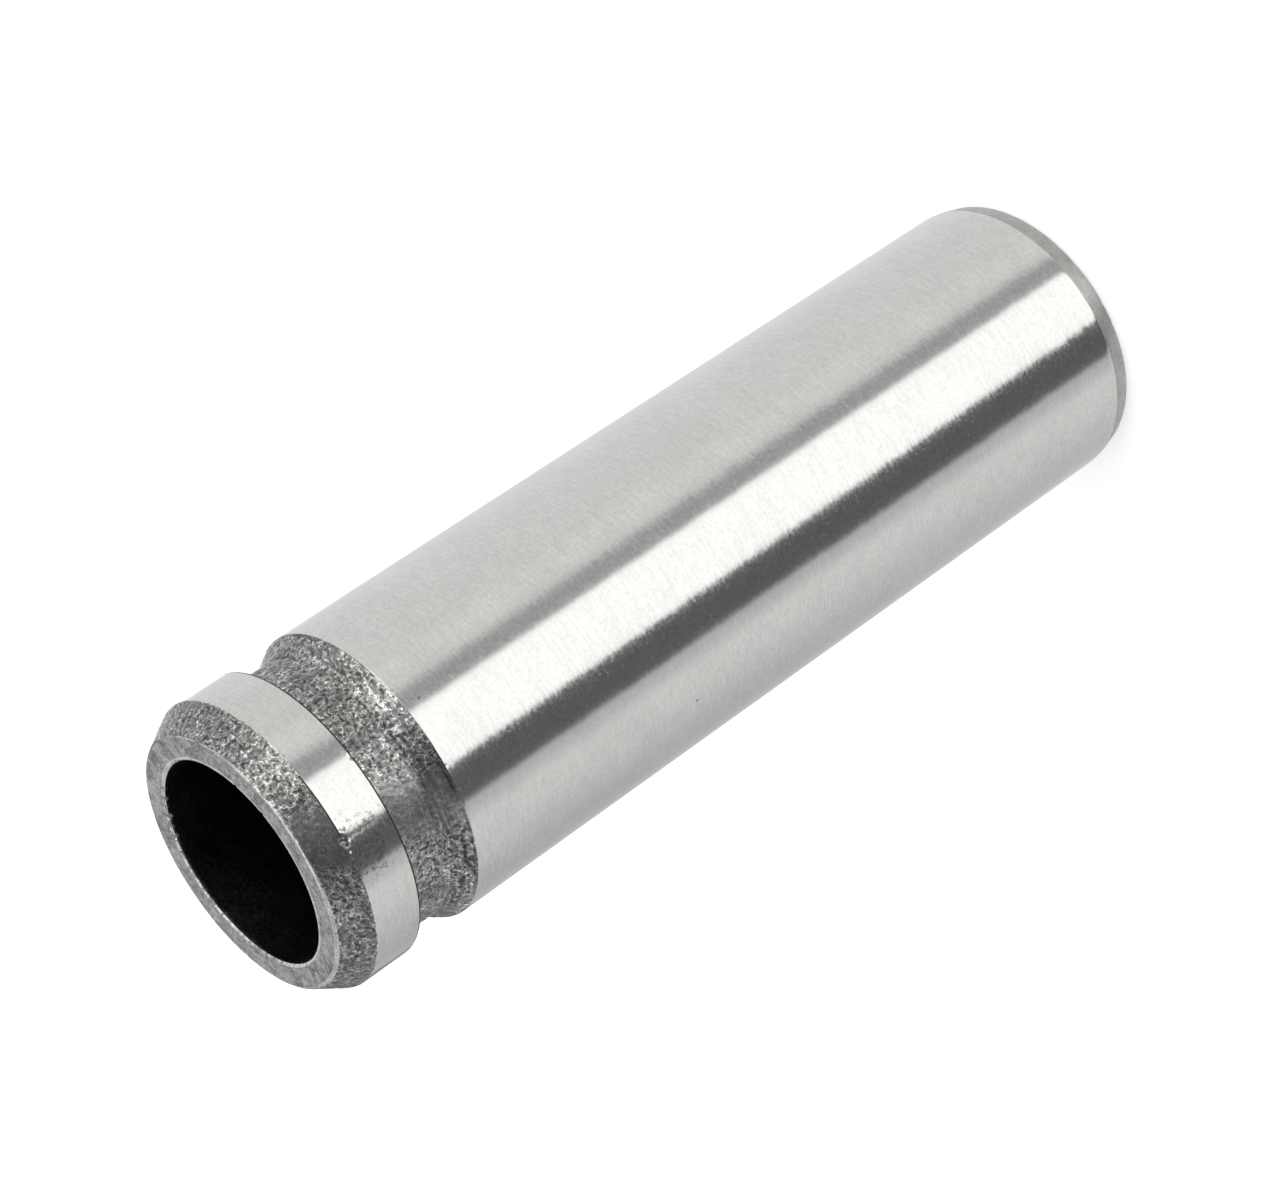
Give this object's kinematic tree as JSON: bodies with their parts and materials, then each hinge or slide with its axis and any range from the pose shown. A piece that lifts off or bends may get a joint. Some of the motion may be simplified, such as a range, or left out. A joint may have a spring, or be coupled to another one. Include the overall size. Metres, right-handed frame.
{
  "type": "valve guide",
  "caption": "Ground cast iron valve guide: a thick-walled sleeve with a reamed stem bore, a coned seal nose, a seal land and groove, and a tapered lead-in end.",
  "frame": {"origin": "centre of the lead-in end face, on which the guide stands", "axes": "+Z along the bore's axis, from the lead-in end towards the seal end; X and Y are free, because the guide is turned"},
  "size_m": [0.017, 0.017, 0.059],
  "materials": {
    "guide_iron": "outside and bore ground and reamed bright, nose and seal groove left matt and pitted"
  },
  "bodies": {
    "root": {"valve_guide": "guide_iron"}
  },
  "joints": []
}
